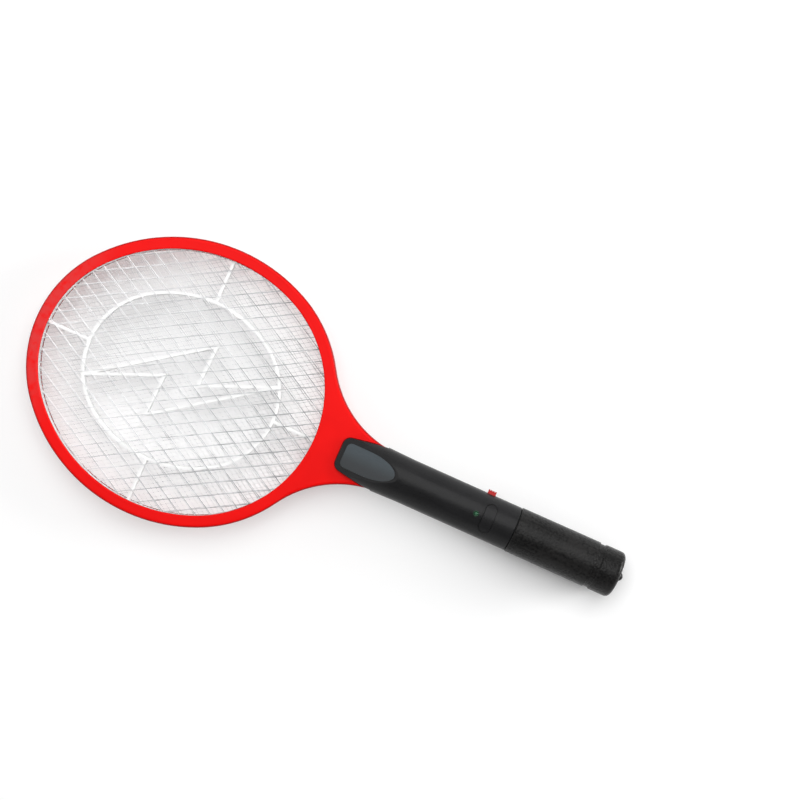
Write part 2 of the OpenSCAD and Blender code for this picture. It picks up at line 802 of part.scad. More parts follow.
// A body along Y with a wire at each end that turns down to the board
module axial(l, d) {
    translate([0, -l / 2, d / 2]) rotate([-90, 0, 0]) cylinder(d = d, h = l);
    for (s = [1, -1]) {
        translate([0, s * (l / 2 + leg_out / 2) - leg_out / 2 - leg_d / 2, d / 2])
            rotate([-90, 0, 0]) cylinder(d = leg_d, h = leg_out + leg_d);
        translate([0, s * (l / 2 + leg_out), 0]) cylinder(d = leg_d, h = d / 2 + leg_d / 2);
    }
}
diode_l = 5.2;
diode_d = 0.057 * kit_l;
module rectifier_diodes() {
    place() color([0.15, 0.15, 0.15]) for (f = [0.81, 0.9])
        translate([board_x + f * kit_l, -board_w / 4, board_top]) axial(diode_l, diode_d);
}
resistor_l = 6.3;
resistor_d = 0.049 * kit_l;
module resistors() {
    place() color("burlywood") for (f = [0.785, 0.862, 0.939])
        translate([board_x + f * kit_l, 0.15 * board_w, board_top]) axial(resistor_l, resistor_d);
}
transistor_d = 4.8;
transistor_h = 5;
module transistor() {
    x = (led_x + button_x) / 2 - transistor_d / 3;
    place() color([0.1, 0.1, 0.1]) translate([x, -board_w / 3, board_top]) difference() {
        cylinder(d = transistor_d, h = transistor_h);
        translate([-transistor_d, 0.3 * transistor_d, -over])
            cube([2 * transistor_d, transistor_d, transistor_h + 2 * over]);
    }
}

// A tube of six or eight sides along a list of points
function path_dir(p, i) = let(a = p[max(i - 1, 0)], b = p[min(i + 1, len(p) - 1)]) (b - a) / norm(b - a);
function ring(p, i, r, sides, ref) = let(
        t = path_dir(p, i),
        s = cross(t, ref) / norm(cross(t, ref)),
        u = cross(s, t)
    ) [for (k = [0 : sides - 1]) p[i] + r * (cos(360 * k / sides) * s + sin(360 * k / sides) * u)];
module tube(p, d, sides, ref) {
    n = len(p);
    points = [for (i = [0 : n - 1]) each ring(p, i, d / 2, sides, ref)];
    walls = [for (i = [0 : n - 2], k = [0 : sides - 1]) let(
            a = i * sides + k,
            b = i * sides + (k + 1) % sides
        ) each [[a, b, a + sides], [b, b + sides, a + sides]]];
    first = [for (k = [1 : sides - 2]) [0, k + 1, k]];
    last = [for (k = [1 : sides - 2]) [(n - 1) * sides, (n - 1) * sides + k, (n - 1) * sides + k + 1]];
    polyhedron(points = points, faces = concat(walls, first, last));
}

// Insulated wires from the grids and the battery to the board
module lead(side, from) {
    y = side * channel_y;
    mid_x = shoulder_x + stem_len;
    end_z = board_top + lead_d / 2;
    tube([[from, y, lead_z], [(from + mid_x) / 2, y, lead_z], [mid_x, y, lead_z],
        [board_x, y, end_z + lead_d / 7], [board_x + 2 * lead_d, y, end_z]], lead_d, 8, [0, 0, 1]);
}
module high_voltage_lead() {
    place() color("crimson") lead(1, opening_near + clamp_ring_in + clamp_ring_w + fit_gap);
}
module ground_lead() {
    place() color([0.2, 0.2, 0.2]) lead(-1, strap_x);
}
module battery_leads() {
    from = board_x + board_l - 4 * lead_d;
    z = board_top + lead_d / 2;
    place() color("crimson") for (s = [1, -1]) let(y = s * cell_y)
        tube([[from, y, z], [(from + flange_x) / 2, y, z], [flange_x, y, z]], lead_d, 8, [0, 0, 1]);
}

// The battery tray, cells and contacts
module tray_body() {
    difference() {
        union() {
            rod_x(cavity_r - fit_gap, flange_x, flange_x + flange_t);
            rod_x(plug_r - fit_gap, flange_x, tray_x + over);
            rod_x(tray_r, tray_x, tray_end);
        }
        translate([tray_x + tray_wall, -cap_d, tray_top])
            cube([tray_end - tray_x - 2 * tray_wall, 2 * cap_d, cap_d]);
        for (s = [1, -1]) translate([0, s * cell_y, 0]) {
            rod_x(cell_d / 2 + fit_gap, contact_front - plate_t, contact_rear + plate_t);
            rod_x(lead_d / 2 + fit_gap, flange_x - over, tray_x + tray_wall + over);
        }
        bridge_plate(fit_gap);
    }
}
module battery_tray() {
    place() color([0.16, 0.16, 0.17]) tray_body();
}
module battery_cells() {
    place() color("goldenrod") for (s = [1, -1]) translate([0, s * cell_y, 0]) {
        from = s > 0 ? contact_front : contact_front + spring_l;
        tip_front = s > 0 ? cell_tip_l : 0;
        tip_from = s > 0 ? from : from + cell_l - cell_tip_l;
        rod_x(cell_d / 2, from + tip_front, from + tip_front + cell_l - cell_tip_l);
        rod_x(cell_tip_d / 2, tip_from, tip_from + cell_tip_l);
    }
}
spring_turns = 4;
rings_per_turn = 8;
function spring_path(from, to, wide, narrow) = [for (i = [0 : spring_turns * rings_per_turn]) let(
        f = i / (spring_turns * rings_per_turn),
        r = wide + (narrow - wide) * f,
        a = 360 * i / rings_per_turn
    ) [from + (to - from) * f, r * cos(a), r * sin(a)]];
module spring(plate, cell) {
    way = cell > plate ? 1 : -1;
    tube(spring_path(plate + way * spring_wire_d / 2, cell - way * spring_wire_d / 2,
        0.36 * cell_d, 0.21 * cell_d), spring_wire_d, 6, [1, 0, 0]);
}
module battery_springs() {
    place() color("silver") {
        translate([0, cell_y, 0]) spring(contact_rear, contact_rear - spring_l);
        translate([0, -cell_y, 0]) spring(contact_front, contact_front + spring_l);
    }
}
echo(spring_gap = spring_l / spring_turns - spring_wire_d);
module bridge_plate(gap) {
    translate([contact_rear - gap, -cell_y - plate_w / 2 - gap, -bridge_h / 2 - gap])
        cube([plate_t + gap, 2 * cell_y + plate_w + 2 * gap, bridge_h + 2 * gap]);
}
module contact_plates() {
    place() color("silver") {
        for (s = [1, -1]) translate([contact_front - plate_t, s * cell_y - plate_w / 2, -plate_w / 2])
            cube([plate_t, plate_w, plate_w]);
        bridge_plate(0);
    }
}

// The pull-off sleeve and the end cap
module battery_sleeve() {
    edge = 0.6;
    place() color([0.15, 0.15, 0.16]) turned(0, 360) polygon([
        [sleeve_bore_d / 2, sleeve_x], [sleeve_front_d / 2 - edge, sleeve_x],
        [sleeve_front_d / 2, sleeve_x + edge], [sleeve_rear_d / 2, groove_x - edge],
        [sleeve_rear_d / 2 - edge, groove_x], [groove_d / 2, groove_x],
        [groove_d / 2, cap_x + sleeve_tail], [sleeve_bore_d / 2, cap_x + sleeve_tail]
    ]);
}
module end_cap() {
    r = cap_d / 2;
    edge = 0.8;
    skirt_r = groove_d / 2 + fit_gap / 2;
    hollow_r = sleeve_bore_d / 2 - 1.5;
    seat_x = cap_x + sleeve_tail;
    place() color([0.14, 0.14, 0.15]) {
        turned(0, 360) difference() {
            union() {
                translate([0, seat_x]) square([r, cap_end - cap_edge_r - seat_x]);
                polygon([[skirt_r, cap_x], [r - edge, cap_x], [r, cap_x + edge],
                    [r, seat_x + over], [skirt_r, seat_x + over]]);
                translate([0, seat_x]) square([r - cap_edge_r, cap_end - seat_x]);
                translate([r - cap_edge_r, cap_end - cap_edge_r]) circle(r = cap_edge_r);
            }
            translate([-over, seat_x - over])
                square([hollow_r + over, cap_end - cap_floor - seat_x + over]);
        }
        translate([tip_x - nub_d / 2, 0, 0]) sphere(d = nub_d);
    }
}

frame_front();
frame_back();
front_grid();
middle_grid();
back_grid();
front_spacer();
back_spacer();
ground_strap();
handle_front();
handle_back();
badge_plate();
handle_screws();
push_button();
switch_plunger();
push_switch();
slide_knob();
slide_switch();
power_led();
circuit_board();
transformer_core();
transformer_winding();
high_voltage_capacitor();
rectifier_diodes();
transistor();
resistors();
high_voltage_lead();
ground_lead();
battery_leads();
battery_tray();
battery_cells();
battery_springs();
contact_plates();
battery_sleeve();
end_cap();
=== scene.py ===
import json
import math

import bmesh
import bpy
from mathutils import Matrix, Vector


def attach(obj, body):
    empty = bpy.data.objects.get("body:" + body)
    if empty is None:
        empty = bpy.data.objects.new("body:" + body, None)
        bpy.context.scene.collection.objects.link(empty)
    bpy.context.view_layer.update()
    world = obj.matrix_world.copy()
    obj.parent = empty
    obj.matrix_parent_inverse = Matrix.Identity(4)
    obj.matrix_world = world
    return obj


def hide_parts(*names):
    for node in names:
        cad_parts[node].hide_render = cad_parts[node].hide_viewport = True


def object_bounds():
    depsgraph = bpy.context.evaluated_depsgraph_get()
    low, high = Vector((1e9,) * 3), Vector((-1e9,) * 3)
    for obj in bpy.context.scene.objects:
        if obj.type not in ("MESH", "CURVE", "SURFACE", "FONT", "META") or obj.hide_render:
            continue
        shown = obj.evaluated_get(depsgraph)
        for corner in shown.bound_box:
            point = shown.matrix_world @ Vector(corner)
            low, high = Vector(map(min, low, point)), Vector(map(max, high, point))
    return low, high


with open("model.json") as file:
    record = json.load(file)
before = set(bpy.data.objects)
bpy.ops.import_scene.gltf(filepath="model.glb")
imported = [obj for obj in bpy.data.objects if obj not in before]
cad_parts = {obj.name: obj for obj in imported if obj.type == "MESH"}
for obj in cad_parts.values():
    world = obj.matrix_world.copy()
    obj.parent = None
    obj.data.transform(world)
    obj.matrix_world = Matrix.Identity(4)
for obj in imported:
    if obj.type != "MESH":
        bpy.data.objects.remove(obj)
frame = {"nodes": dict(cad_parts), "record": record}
cad_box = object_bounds()

MM = 0.001
FULL_TURN = 2 * math.pi

# Places that the shapes and looks depend on, in metres
AXIS_Z = 18.35 * MM
HEAD_X = -125.3 * MM
FAR_END_X = -246.0 * MM
NECK_END_X = 90.0 * MM
LAMP_X = 122.0 * MM
CELL_MID_X = 193.05 * MM
CELL_Y = 7.3 * MM
RIM_HALF_T = 7.0 * MM
NET_HALF_L = 114.6 * MM
NET_HALF_W = 103.3 * MM

BLACK = (0.0, 0.0, 0.0)
WHITE = (1.0, 1.0, 1.0)
EVEN = (1.0, 1.0, 1.0)
FLAT = (1.0, 1.0, 0.0)
NOISE_ROUGH = 0.55


class Value:
    """What varies over a surface: one output of a node, for use in plain sums."""

    def __init__(self, nodes, socket):
        self.nodes = nodes
        self.socket = socket

    def math(self, operation, first, second):
        return self.nodes.node("ShaderNodeMath", {"operation": operation}, {0: first, 1: second})

    def __add__(self, other):
        return self.math("ADD", self, other)

    def __sub__(self, other):
        return self.math("SUBTRACT", self, other)

    def __rsub__(self, other):
        return self.math("SUBTRACT", other, self)

    def __mul__(self, other):
        return self.math("MULTIPLY", self, other)

    def __abs__(self):
        return self.math("ABSOLUTE", self, 0.0)

    def __lt__(self, other):
        return self.math("LESS_THAN", self, other)

    def __gt__(self, other):
        return self.math("GREATER_THAN", self, other)

    __radd__ = __add__
    __rmul__ = __mul__


class Nodes:
    """The nodes of one material or of the world."""

    def __init__(self, tree):
        self.tree = tree

    def put(self, socket, value):
        """Links a varying value to a socket, or sets a fixed one."""
        if isinstance(value, Value):
            self.tree.links.new(value.socket, socket)
        elif socket.type == "RGBA":
            socket.default_value = (*value, 1.0)
        else:
            socket.default_value = value

    def node(self, kind, settings=None, sockets=None, output=0):
        """Adds one node: its settings first, then the values or links of its sockets."""
        made = self.tree.nodes.new(kind)
        for name, value in (settings or {}).items():
            setattr(made, name, value)
        for key, value in (sockets or {}).items():
            self.put(made.inputs[key], value)
        return Value(self, made.outputs[output])

    def ramp(self, value, low, high, first=0.0, last=1.0):
        """From first, below low, to last, above high, smooth between."""
        return self.node("ShaderNodeMapRange", {"interpolation_type": "SMOOTHSTEP"}, {
            "Value": value, "From Min": low, "From Max": high, "To Min": first, "To Max": last})


class Finish(Nodes):
    """A material, drawn by its nodes."""

    def __init__(self, name, **constants):
        self.material = bpy.data.materials.new(name)
        self.material.use_nodes = True
        super().__init__(self.material.node_tree)
        self.shader = self.tree.nodes["Principled BSDF"]
        self.set(**constants)

    def set(self, **sockets):
        """Sets the shader's sockets, with _ for a space in a name."""
        for name, value in sockets.items():
            self.put(self.shader.inputs[name.replace("_", " ")], value)
        return self

    def here(self, stretch=EVEN):
        """The place on the part, scaled along each axis."""
        spot = self.node("ShaderNodeTexCoord", output="Object")
        return self.node("ShaderNodeMapping", None, {"Vector": spot, "Scale": stretch})

    def axis(self, name):
        return self.node("ShaderNodeSeparateXYZ", None, {0: self.here()}, name)

    def noise(self, size, detail=3.0, stretch=EVEN):
        """Cloudy variation from 0 to 1, with blobs of about the given size."""
        return self.node("ShaderNodeTexNoise", None, {
            "Vector": self.here(stretch), "Scale": 1.0 / size, "Detail": detail, "Roughness": NOISE_ROUGH})

    def mix(self, share, first, second):
        return self.node("ShaderNodeMix", {"data_type": "RGBA"}, {0: share, 6: first, 7: second}, 2)

    def bump(self, height, depth, strength=1.0):
        normal = self.node("ShaderNodeBump", None, {
            "Height": height, "Distance": depth, "Strength": strength})
        return self.set(Normal=normal)


# Mouldings: the parting line of two halves, the painted shade on the rim's sides, and the tones of the
# large pieces
SEAM_HALF_W = 0.14 * MM
SEAM_DEPTH = 1.5
RIM_SIDE = RIM_HALF_T - 0.8 * MM
RIM_FACE = RIM_HALF_T - 0.15 * MM
FAR_PALE_REACH = 45 * MM
RED_DEEP = (0.74, 0.0024, 0.0022)
RED_LIGHT = (0.81, 0.0034, 0.0030)
RED_FAR_PALE = (0.68, 0.036, 0.036)
RED_KNOB = (0.46, 0.034, 0.032)
RED_SIDE_SHADE = (0.36, 0.003, 0.003)
RED_SEAM = (0.45, 0.004, 0.004)
BLACK_SEAM = (0.004, 0.004, 0.004)
SPACER_DARK = (0.96, 0.96, 0.955)
SPACER_LIGHT = (0.985, 0.985, 0.98)
ALONG_HANDLE = (0.12, 1.0, 1.0)


def seam_mask(finish):
    """1 along the parting line of the two moulded halves."""
    return abs(finish.axis("Z") - AXIS_Z) < SEAM_HALF_W


def red_plastic():
    """Bright red, with painted shade down the sides of the rim and neck, and paler in patches at the
    head's far end.
    """
    finish = Finish("red_plastic", IOR=1.18)
    cloud = finish.noise(45 * MM)
    grain = finish.noise(0.55 * MM, 2.0)
    seam = seam_mask(finish)
    from_seam = abs(finish.axis("Z") - AXIS_Z)
    # Painted shade: a deeper red down the sides of the rim and neck, below the front face.
    sides = finish.ramp(from_seam, RIM_SIDE, RIM_FACE, 1.0, 0.0)
    sides = sides * (finish.axis("X") < NECK_END_X)
    face = finish.mix(finish.ramp(cloud, 0.3, 0.7), RED_DEEP, RED_LIGHT)
    # A paler red in patches toward the head's far end.
    far_pale = finish.ramp(finish.axis("X"), FAR_END_X, FAR_END_X + FAR_PALE_REACH, 1.0, 0.0)
    face = finish.mix(far_pale * finish.ramp(finish.noise(6 * MM), 0.2, 0.6), face, RED_FAR_PALE)
    knob = finish.axis("X") > NECK_END_X
    face = finish.mix(knob, face, RED_KNOB)
    colour = finish.mix(sides, face, RED_SIDE_SHADE)
    finish.set(Base_Color=finish.mix(seam, colour, RED_SEAM))
    finish.set(Roughness=0.36 + 0.12 * finish.noise(9 * MM))
    return finish.bump(grain - SEAM_DEPTH * seam, 0.03 * MM, 0.35)


def black_plastic(name, dark, light, rough, grain_size, grain_depth):
    """A black moulding: mottled, a little streaked along the handle, with a fine grain."""
    finish = Finish(name, IOR=1.23)
    cloud = finish.noise(30 * MM)
    streaks = finish.noise(2.2 * MM, 4.0, ALONG_HANDLE)
    grain = finish.noise(grain_size, 2.0)
    seam = seam_mask(finish)
    mottle = cloud * 0.3 + streaks * 0.3 + grain * 0.4
    tone = finish.mix(finish.ramp(mottle, 0.38, 0.62), dark, light)
    finish.set(Base_Color=finish.mix(seam, tone, BLACK_SEAM))
    finish.set(Roughness=rough + 0.30 * (mottle - 0.5))
    return finish.bump(grain - SEAM_DEPTH * seam, grain_depth)


def white_plastic():
    finish = Finish(
        "white_plastic", IOR=1.48, Subsurface_Weight=0.5, Subsurface_Scale=3.0 * MM,
        Subsurface_Radius=EVEN)
    tone = finish.mix(finish.noise(20 * MM), SPACER_DARK, SPACER_LIGHT)
    finish.set(Base_Color=tone, Roughness=0.42 + 0.12 * finish.noise(6 * MM))
    return finish.bump(finish.noise(0.7 * MM), 0.02 * MM, 0.4)


# Wire: painted light and shade, changing along the head and from net to net
WIRE_SHADE_FROM = -90 * MM
WIRE_SHADE_TO = 90 * MM
FRONT_FROM = AXIS_Z + 1 * MM
FRONT_TO = AXIS_Z + 4 * MM
BACK_SHARE = 0.15
MIDDLE_FROM = 1 * MM
MIDDLE_TO = 2 * MM
MIDDLE_SHARE = 0.3
LIT_WIRE_DARK = (0.80, 0.80, 0.81)
LIT_WIRE_LIGHT = (0.95, 0.95, 0.96)
SHADED_WIRE_DARK = (0.30, 0.31, 0.32)
SHADED_WIRE_LIGHT = (0.66, 0.67, 0.68)


def toward_handle(finish, low, high, slant=0.0):
    """0 at the head's far end, 1 nearer the handle; both places are measured from the head's middle."""
    place = finish.axis("X") - HEAD_X - finish.axis("Y") * slant
    return finish.ramp(place, low, high)


def wire_steel():
    """Tinned wire with painted light and shade: painted light at the far end, painted shade toward the
    handle in front and in the middle net.
    """
    finish = Finish("wire_steel")
    tarnish = finish.ramp(finish.noise(14 * MM, 4.0), 0.35, 0.65)
    front = finish.ramp(finish.axis("Z"), FRONT_FROM, FRONT_TO, BACK_SHARE, 1.0)
    middle = finish.ramp(abs(finish.axis("Z") - AXIS_Z), MIDDLE_FROM, MIDDLE_TO, 1.0, 0.0)
    # Painted shade: darker toward the handle in the front net, a little in the back net, and more in the
    # middle net.
    painted_wire_shade = toward_handle(finish, WIRE_SHADE_FROM, WIRE_SHADE_TO) * front + MIDDLE_SHARE * middle
    lit_wire = finish.mix(tarnish, LIT_WIRE_DARK, LIT_WIRE_LIGHT)
    shaded_wire = finish.mix(tarnish, SHADED_WIRE_DARK, SHADED_WIRE_LIGHT)
    finish.set(Base_Color=finish.mix(painted_wire_shade, lit_wire, shaded_wire), Metallic=0.25 + 0.5 * painted_wire_shade)
    finish.set(Roughness=0.38 + 0.16 * finish.noise(3 * MM))
    return finish.bump(finish.noise(0.4 * MM, 2.0), 0.01 * MM, 0.3)


# Badge: a bare plate, brushed along its length, with painted shade darkening one side
BADGE_DARK = (0.044, 0.056, 0.064)
BADGE_LIGHT = (0.064, 0.078, 0.088)
BADGE_SHADE = (0.036, 0.040, 0.043)
BADGE_SHADE_FROM = -6 * MM
BADGE_SHADE_TO = 7 * MM
BADGE_BRUSHED = (0.05, 1.0, 1.0)


def badge_slate():
    finish = Finish("badge_slate", IOR=1.3)
    brushed = finish.noise(0.9 * MM, 3.0, BADGE_BRUSHED)
    # Painted shade over one side of the plate.
    shade = finish.ramp(finish.axis("Y"), BADGE_SHADE_FROM, BADGE_SHADE_TO, 1.0, 0.0)
    light = finish.mix(brushed, BADGE_DARK, BADGE_LIGHT)
    tone = finish.mix(shade, light, BADGE_SHADE)
    finish.set(Base_Color=tone, Roughness=0.34 + 0.14 * brushed)
    return finish.bump(brushed, 0.01 * MM, 0.3)


def metal(name, dark, light, rough, stretch=EVEN):
    """Plated metal: a little cloudy, with fine lines."""
    finish = Finish(name, Metallic=1.0)
    cloud = finish.noise(4 * MM)
    lines = finish.noise(0.25 * MM, 3.0, stretch)
    finish.set(Base_Color=finish.mix(cloud, dark, light), Roughness=rough + 0.15 * lines)
    return finish.bump(lines, 0.008 * MM, 0.4)


def moulded(name, dark, light, rough, grain=0.5 * MM):
    """A small moulded or dipped piece: a little mottled, with a fine skin."""
    finish = Finish(name, IOR=1.5)
    finish.set(Base_Color=finish.mix(finish.noise(3 * MM), dark, light))
    finish.set(Roughness=rough + 0.12 * finish.noise(1.5 * MM))
    return finish.bump(finish.noise(grain, 2.0), 0.02 * MM, 0.4)


# Lamp: its cup shows through the middle
CUP_R = 0.7 * MM
CUP_EDGE = 1.5 * MM
LAMP_DARK = (0.002, 0.022, 0.008)
LAMP_LIGHT = (0.005, 0.045, 0.016)
LAMP_CUP = (0.016, 0.075, 0.034)
LAMP_FAINT = (0.0, 0.01, 0.004)
LAMP_GLOW = (0.06, 0.26, 0.14)


def lamp_green():
    """Tinted epoxy, faintly lit in the middle where its cup shows."""
    finish = Finish("lamp_green", IOR=1.45, Roughness=0.16, Emission_Strength=0.10)
    reach = finish.node("ShaderNodeVectorMath", {"operation": "DISTANCE"}, {
        0: finish.here(FLAT), 1: (LAMP_X, 0.0, 0.0)}, "Value")
    cup = finish.ramp(reach, CUP_R, CUP_EDGE, 1.0, 0.0)
    body = finish.mix(finish.noise(0.6 * MM), LAMP_DARK, LAMP_LIGHT)
    finish.set(Base_Color=finish.mix(cup, body, LAMP_CUP))
    return finish.set(Emission_Color=finish.mix(cup, LAMP_FAINT, LAMP_GLOW))


# Board, tape and resistors: how close their tracks, wraps and bands stand
TRACK_SCALE = 180.0
TRACK_WIDTH = 0.06
MASK_GREEN = (0.020, 0.16, 0.055)
TRACK_GREEN = (0.05, 0.28, 0.10)
WRAP_SCALE = 260.0
TAPE_DARK = (0.52, 0.33, 0.05)
TAPE_LIGHT = (0.72, 0.50, 0.10)
BAND_SCALE = 210.0
LACQUER = (0.62, 0.46, 0.28)
BAND_BROWN = (0.25, 0.06, 0.02)


def board_green():
    finish = Finish("board_green", IOR=1.5)
    tracks = finish.node("ShaderNodeTexBrick", {"offset": 0.35}, {
        "Vector": finish.here(), "Scale": TRACK_SCALE, "Mortar Size": TRACK_WIDTH,
        "Color1": BLACK, "Color2": BLACK, "Mortar": WHITE}, "Fac")
    finish.set(Base_Color=finish.mix(tracks, MASK_GREEN, TRACK_GREEN))
    finish.set(Roughness=0.30 + 0.2 * finish.noise(2 * MM))
    return finish.bump(tracks, 0.03 * MM, 0.5)


def winding_tape():
    finish = Finish("winding_tape", IOR=1.45)
    wraps = finish.node("ShaderNodeTexWave", {"bands_direction": "Z"}, {
        "Vector": finish.here(), "Scale": WRAP_SCALE, "Distortion": 1.2, "Detail": 2.0}, "Fac")
    finish.set(Base_Color=finish.mix(wraps, TAPE_DARK, TAPE_LIGHT))
    finish.set(Roughness=0.35 + 0.2 * wraps)
    return finish.bump(wraps, 0.05 * MM, 0.5)


def resistor_body():
    finish = Finish("resistor_body", IOR=1.5)
    waves = finish.node("ShaderNodeTexWave", {"bands_direction": "Y"}, {
        "Vector": finish.here(), "Scale": BAND_SCALE}, "Fac")
    bands = finish.ramp(waves, 0.72, 0.78)
    finish.set(Base_Color=finish.mix(bands, LACQUER, BAND_BROWN))
    finish.set(Roughness=0.38 + 0.1 * finish.noise(1 * MM))
    return finish.bump(finish.noise(0.4 * MM), 0.02 * MM, 0.3)


# Cells: where the copper part of the jacket and the bare tips begin, from the cell's middle
COPPER_FROM = 9.6 * MM
COPPER_TO = 10.0 * MM
TIP_FROM = 24.2 * MM
JACKET_BLACK = (0.020, 0.020, 0.022)
JACKET_COPPER = (0.62, 0.30, 0.12)
TIP_STEEL = (0.70, 0.70, 0.71)
RUBBED_AROUND = (1.0, 0.2, 0.2)


def cell_jacket():
    """Copper-coloured toward the positive end and black behind; the two cells lie head to tail."""
    finish = Finish("cell_jacket", IOR=1.5)
    way = 1 - 2 * (finish.axis("Y") > 0)
    along = (finish.axis("X") - CELL_MID_X) * way
    copper = finish.ramp(along, COPPER_FROM, COPPER_TO)
    rub = finish.noise(1.5 * MM, 4.0, RUBBED_AROUND)
    tip = abs(along) > TIP_FROM
    jacket = finish.mix(copper, JACKET_BLACK, JACKET_COPPER)
    finish.set(Base_Color=finish.mix(tip, jacket, TIP_STEEL))
    finish.set(Metallic=finish.ramp(copper + tip, 0.2, 0.8), Roughness=0.24 + 0.2 * rub)
    return finish.bump(rub, 0.01 * MM, 0.3)


# Black mouldings: darker tone, lighter tone, roughness, size and depth of the grain
BLACK_GRIP = ((0.0110, 0.0110, 0.0116), (0.0152, 0.0152, 0.0159), 0.31, 0.9 * MM, 0.10 * MM)
BLACK_SLEEVE = ((0.0066, 0.0065, 0.0065), (0.0164, 0.0159, 0.0156), 0.29, 1.8 * MM, 0.40 * MM)
BLACK_BUTTON = ((0.0110, 0.0110, 0.0116), (0.0148, 0.0148, 0.0155), 0.32, 0.9 * MM, 0.08 * MM)

# The finish of every slot. The small pieces give their darker tone, lighter tone and roughness
finishes = {
    "red_plastic": red_plastic(),
    "grid_wire": wire_steel(),
    "white_plastic": white_plastic(),
    "black_plastic": black_plastic("black_plastic", *BLACK_GRIP),
    "sleeve_black": black_plastic("sleeve_black", *BLACK_SLEEVE),
    "button_black": black_plastic("button_black", *BLACK_BUTTON),
    "badge": badge_slate(),
    "screw_steel": metal("screw_steel", (0.52, 0.52, 0.54), (0.68, 0.68, 0.70), 0.25, (1.0, 0.1, 1.0)),
    "switch_plastic": moulded("switch_plastic", (0.76, 0.73, 0.64), (0.86, 0.83, 0.75), 0.45),
    "component_black": moulded("component_black", (0.020, 0.020, 0.021), (0.040, 0.040, 0.042), 0.50),
    "contact_metal": metal("contact_metal", (0.66, 0.65, 0.62), (0.80, 0.79, 0.77), 0.18),
    "led_green": lamp_green(),
    "board_green": board_green(),
    "ferrite": moulded("ferrite", (0.040, 0.040, 0.042), (0.075, 0.073, 0.072), 0.55, 0.3 * MM),
    "winding_tape": winding_tape(),
    "capacitor_film": moulded("capacitor_film", (0.30, 0.06, 0.025), (0.42, 0.10, 0.05), 0.22, 1.5 * MM),
    "resistor_body": resistor_body(),
    "lead_red": moulded("lead_red", (0.48, 0.015, 0.015), (0.62, 0.03, 0.03), 0.42),
    "lead_black": moulded("lead_black", (0.015, 0.015, 0.015), (0.03, 0.03, 0.03), 0.42),
    "cell_jacket": cell_jacket(),
}

for part in frame["record"]["subparts"]:
    for holder in frame["nodes"][part["node"]].material_slots:
        holder.material = finishes[part["material_slot"]].material


def placed(name, data):
    """Makes an object and puts it into the scene."""
    made = bpy.data.objects.new(name, data)
    bpy.context.scene.collection.objects.link(made)
    return made


def mesh_object(name, bm, finish):
    """Makes an object of a bmesh, with one finish."""
    mesh = bpy.data.meshes.new(name)
    bm.to_mesh(mesh)
    bm.free()
    mesh.materials.append(finish.material)
    return placed(name, mesh)


def finished_piece(name, bm, slot, body, *nodes):
    """A smooth piece with its finish and its body, in place of the nodes that it stands for."""
    bmesh.ops.recalc_face_normals(bm, faces=bm.faces)
    piece = mesh_object(name, bm, finishes[slot])
    piece.data.shade_smooth()
    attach(piece, body)
    if nodes:
        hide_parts(*nodes)


def swept(ring, radius, sides, **path):
    """A round section, swept along a line or round an axis."""
    bm = bmesh.new()
    bmesh.ops.create_circle(bm, segments=sides, radius=radius, matrix=ring)
    bmesh.ops.spin(bm, geom=bm.verts[:] + bm.edges[:], **path)
    return bm


def close_ends(bm, sides):
    ends = [edge for edge in bm.edges if edge.is_boundary]
    bmesh.ops.holes_fill(bm, edges=ends, sides=sides)


def rod(start, end, radius, sides, steps):
    """A round rod between two points, in steps that can be bent."""
    way = end - start
    facing = Matrix.Translation(start) @ way.to_track_quat("Z", "Y").to_matrix().to_4x4()
    bm = swept(
        facing, radius, sides, cent=start, axis=way.normalized(), angle=0.0, steps=steps,
        dvec=way / steps)
    close_ends(bm, sides)
    return bm


def join(pieces):
    """Puts several small meshes into one."""
    whole = bmesh.new()
    carrier = bpy.data.meshes.new("carrier")
    for piece in pieces:
        piece.to_mesh(carrier)
        piece.free()
        whole.from_mesh(carrier)
    bpy.data.meshes.remove(carrier)
    return whole


def within_one(value):
    return min(1.0, max(0.0, value))


# The nets: round wires, cut to the oval that is clamped under the rim's lip. The outer two
# are woven wide, the middle one is fine and flat
WIRE_SIDES = 6
STEPS_PER_CROSSING = 4
END_FLAT = 9 * MM
OUTER_NET = {"pitch": 9.45 * MM, "angle": math.radians(29.4), "radius": 0.31 * MM}
MIDDLE_NET = {"pitch": 3.45 * MM, "angle": math.radians(34.0), "radius": 0.17 * MM}
OUTER_LEVEL = 4.68 * MM
OUTER_WEAVE = 0.16 * MM
NO_WEAVE = 0.0
TAB_START = -13.5 * MM
TAB_END = -7.8 * MM
TAB_Y = 6.5 * MM
TAB_WIDTH = 3.0 * MM
TAB_THICK = 0.6 * MM

# How far the wires of each slant stand from the head's middle, in pitches
MIDDLED = {1: 0.5, -1: 0.5}
BEHIND = {1: 0.52, -1: 0.28}


def wire_span(offset, angle):
    """Where a wire at this offset from the middle meets the oval, along the wire."""
    u = Vector((math.cos(angle), math.sin(angle)))
    n = Vector((-math.sin(angle), math.cos(angle)))
    k = (u.x / NET_HALF_L) ** 2 + (u.y / NET_HALF_W) ** 2
    m = offset * (u.x * n.x / NET_HALF_L ** 2 + u.y * n.y / NET_HALF_W ** 2)
    c = offset ** 2 * ((n.x / NET_HALF_L) ** 2 + (n.y / NET_HALF_W) ** 2) - 1
    root = m * m - k * c
    if root <= 0:
        return None
    return (-m - math.sqrt(root)) / k, (-m + math.sqrt(root)) / k


